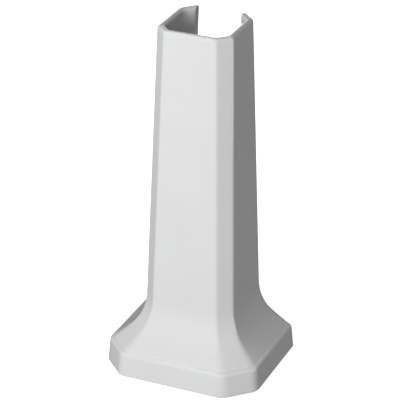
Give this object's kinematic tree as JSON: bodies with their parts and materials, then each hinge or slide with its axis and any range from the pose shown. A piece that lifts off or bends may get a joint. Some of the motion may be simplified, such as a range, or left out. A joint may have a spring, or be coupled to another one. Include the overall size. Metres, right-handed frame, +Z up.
{
  "type": "wash basin pedestal",
  "caption": "Glazed ceramic pedestal column with chamfered corners, flared plinth foot, open top and back, and hidden floor fixings.",
  "frame": {"origin": "on the floor, in the middle of the foot's width and depth", "axes": "+X to the right seen from the front, +Y towards the wall behind, +Z up"},
  "size_m": [0.312, 0.239, 0.68],
  "materials": {
    "glazed_china": "glossy white glaze on vitreous china",
    "nylon": "natural moulded nylon",
    "zinc_steel": "bright zinc plate",
    "cap_plastic": "glossy moulded polypropylene"
  },
  "bodies": {
    "column": {"pedestal": "glazed_china", "fixing_sleeve_left": "nylon", "fixing_sleeve_right": "nylon", "fixing_washer_left": "zinc_steel", "fixing_washer_right": "zinc_steel", "fixing_nut_left": "zinc_steel", "fixing_nut_right": "zinc_steel"},
    "cap_left": {"cover_cap_left": "cap_plastic"},
    "cap_right": {"cover_cap_right": "cap_plastic"}
  },
  "joints": [
    {"name": "cap_left_pull", "type": "slide", "parent": "column", "child": "cap_left", "axis": [0, 0, 1], "range_m": [0, 0.016]},
    {"name": "cap_right_pull", "type": "slide", "parent": "column", "child": "cap_right", "axis": [0, 0, 1], "range_m": [0, 0.016]}
  ]
}
